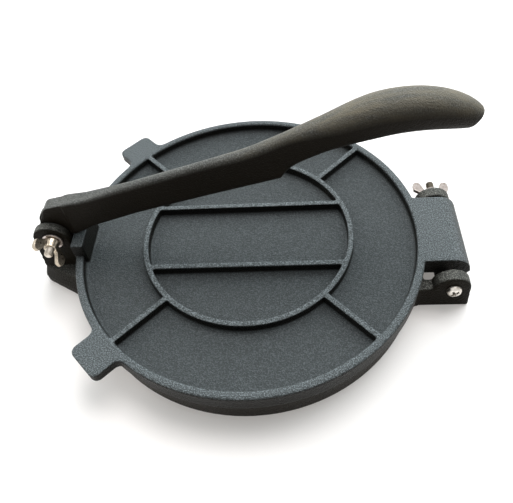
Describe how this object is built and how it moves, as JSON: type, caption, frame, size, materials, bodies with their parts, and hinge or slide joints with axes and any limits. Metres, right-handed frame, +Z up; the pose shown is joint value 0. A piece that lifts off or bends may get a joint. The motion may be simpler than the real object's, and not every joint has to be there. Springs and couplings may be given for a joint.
{
  "type": "tortilla press",
  "caption": "Cast iron tortilla press: a round base, a ribbed top plate on a hinge, and a long curved lever that presses the plate down.",
  "frame": {"origin": "middle of the round plates, on the table", "axes": "+X from the lever's pivot to the hinge, +Y away from the lever's wing nut, +Z up"},
  "size_m": [0.3257, 0.26, 0.1589],
  "materials": {
    "base_iron": "seasoned sand casting, fine orange-peel grain",
    "plate_iron": "seasoned sand casting, fine orange-peel grain",
    "lever_iron": "seasoned casting, smoother and a little browner on the grip",
    "zinc": "zinc-plated steel"
  },
  "bodies": {
    "base": {"base": "base_iron", "hinge_bolt": "zinc", "hinge_washer": "zinc", "lever_bolt": "zinc", "lever_washer": "zinc"},
    "top_plate": {"top_plate": "plate_iron"},
    "lever": {"lever": "lever_iron"},
    "hinge_wing_nut": {"hinge_wing_nut": "zinc"},
    "lever_wing_nut": {"lever_wing_nut": "zinc"}
  },
  "joints": [
    {"name": "lever_lift", "type": "hinge", "parent": "base", "child": "lever", "pos_m": [-0.1425, 0, 0.051], "axis": [0, -1, 0], "range_deg": [0, 165]},
    {"name": "plate_open", "type": "hinge", "parent": "base", "child": "top_plate", "pos_m": [0.1466, 0, 0.0207], "axis": [0, 1, 0], "range_deg": [0, 110]},
    {"name": "hinge_nut_turn", "type": "hinge", "parent": "base", "child": "hinge_wing_nut", "pos_m": [0.1466, 0.048, 0.0207], "axis": [0, 1, 0], "continuous": true},
    {"name": "lever_nut_turn", "type": "hinge", "parent": "base", "child": "lever_wing_nut", "pos_m": [-0.1425, -0.018, 0.051], "axis": [0, -1, 0], "continuous": true}
  ],
  "couplings": [
    {"joint": "plate_open", "follows": "lever_lift", "ratio": 0.05}
  ]
}
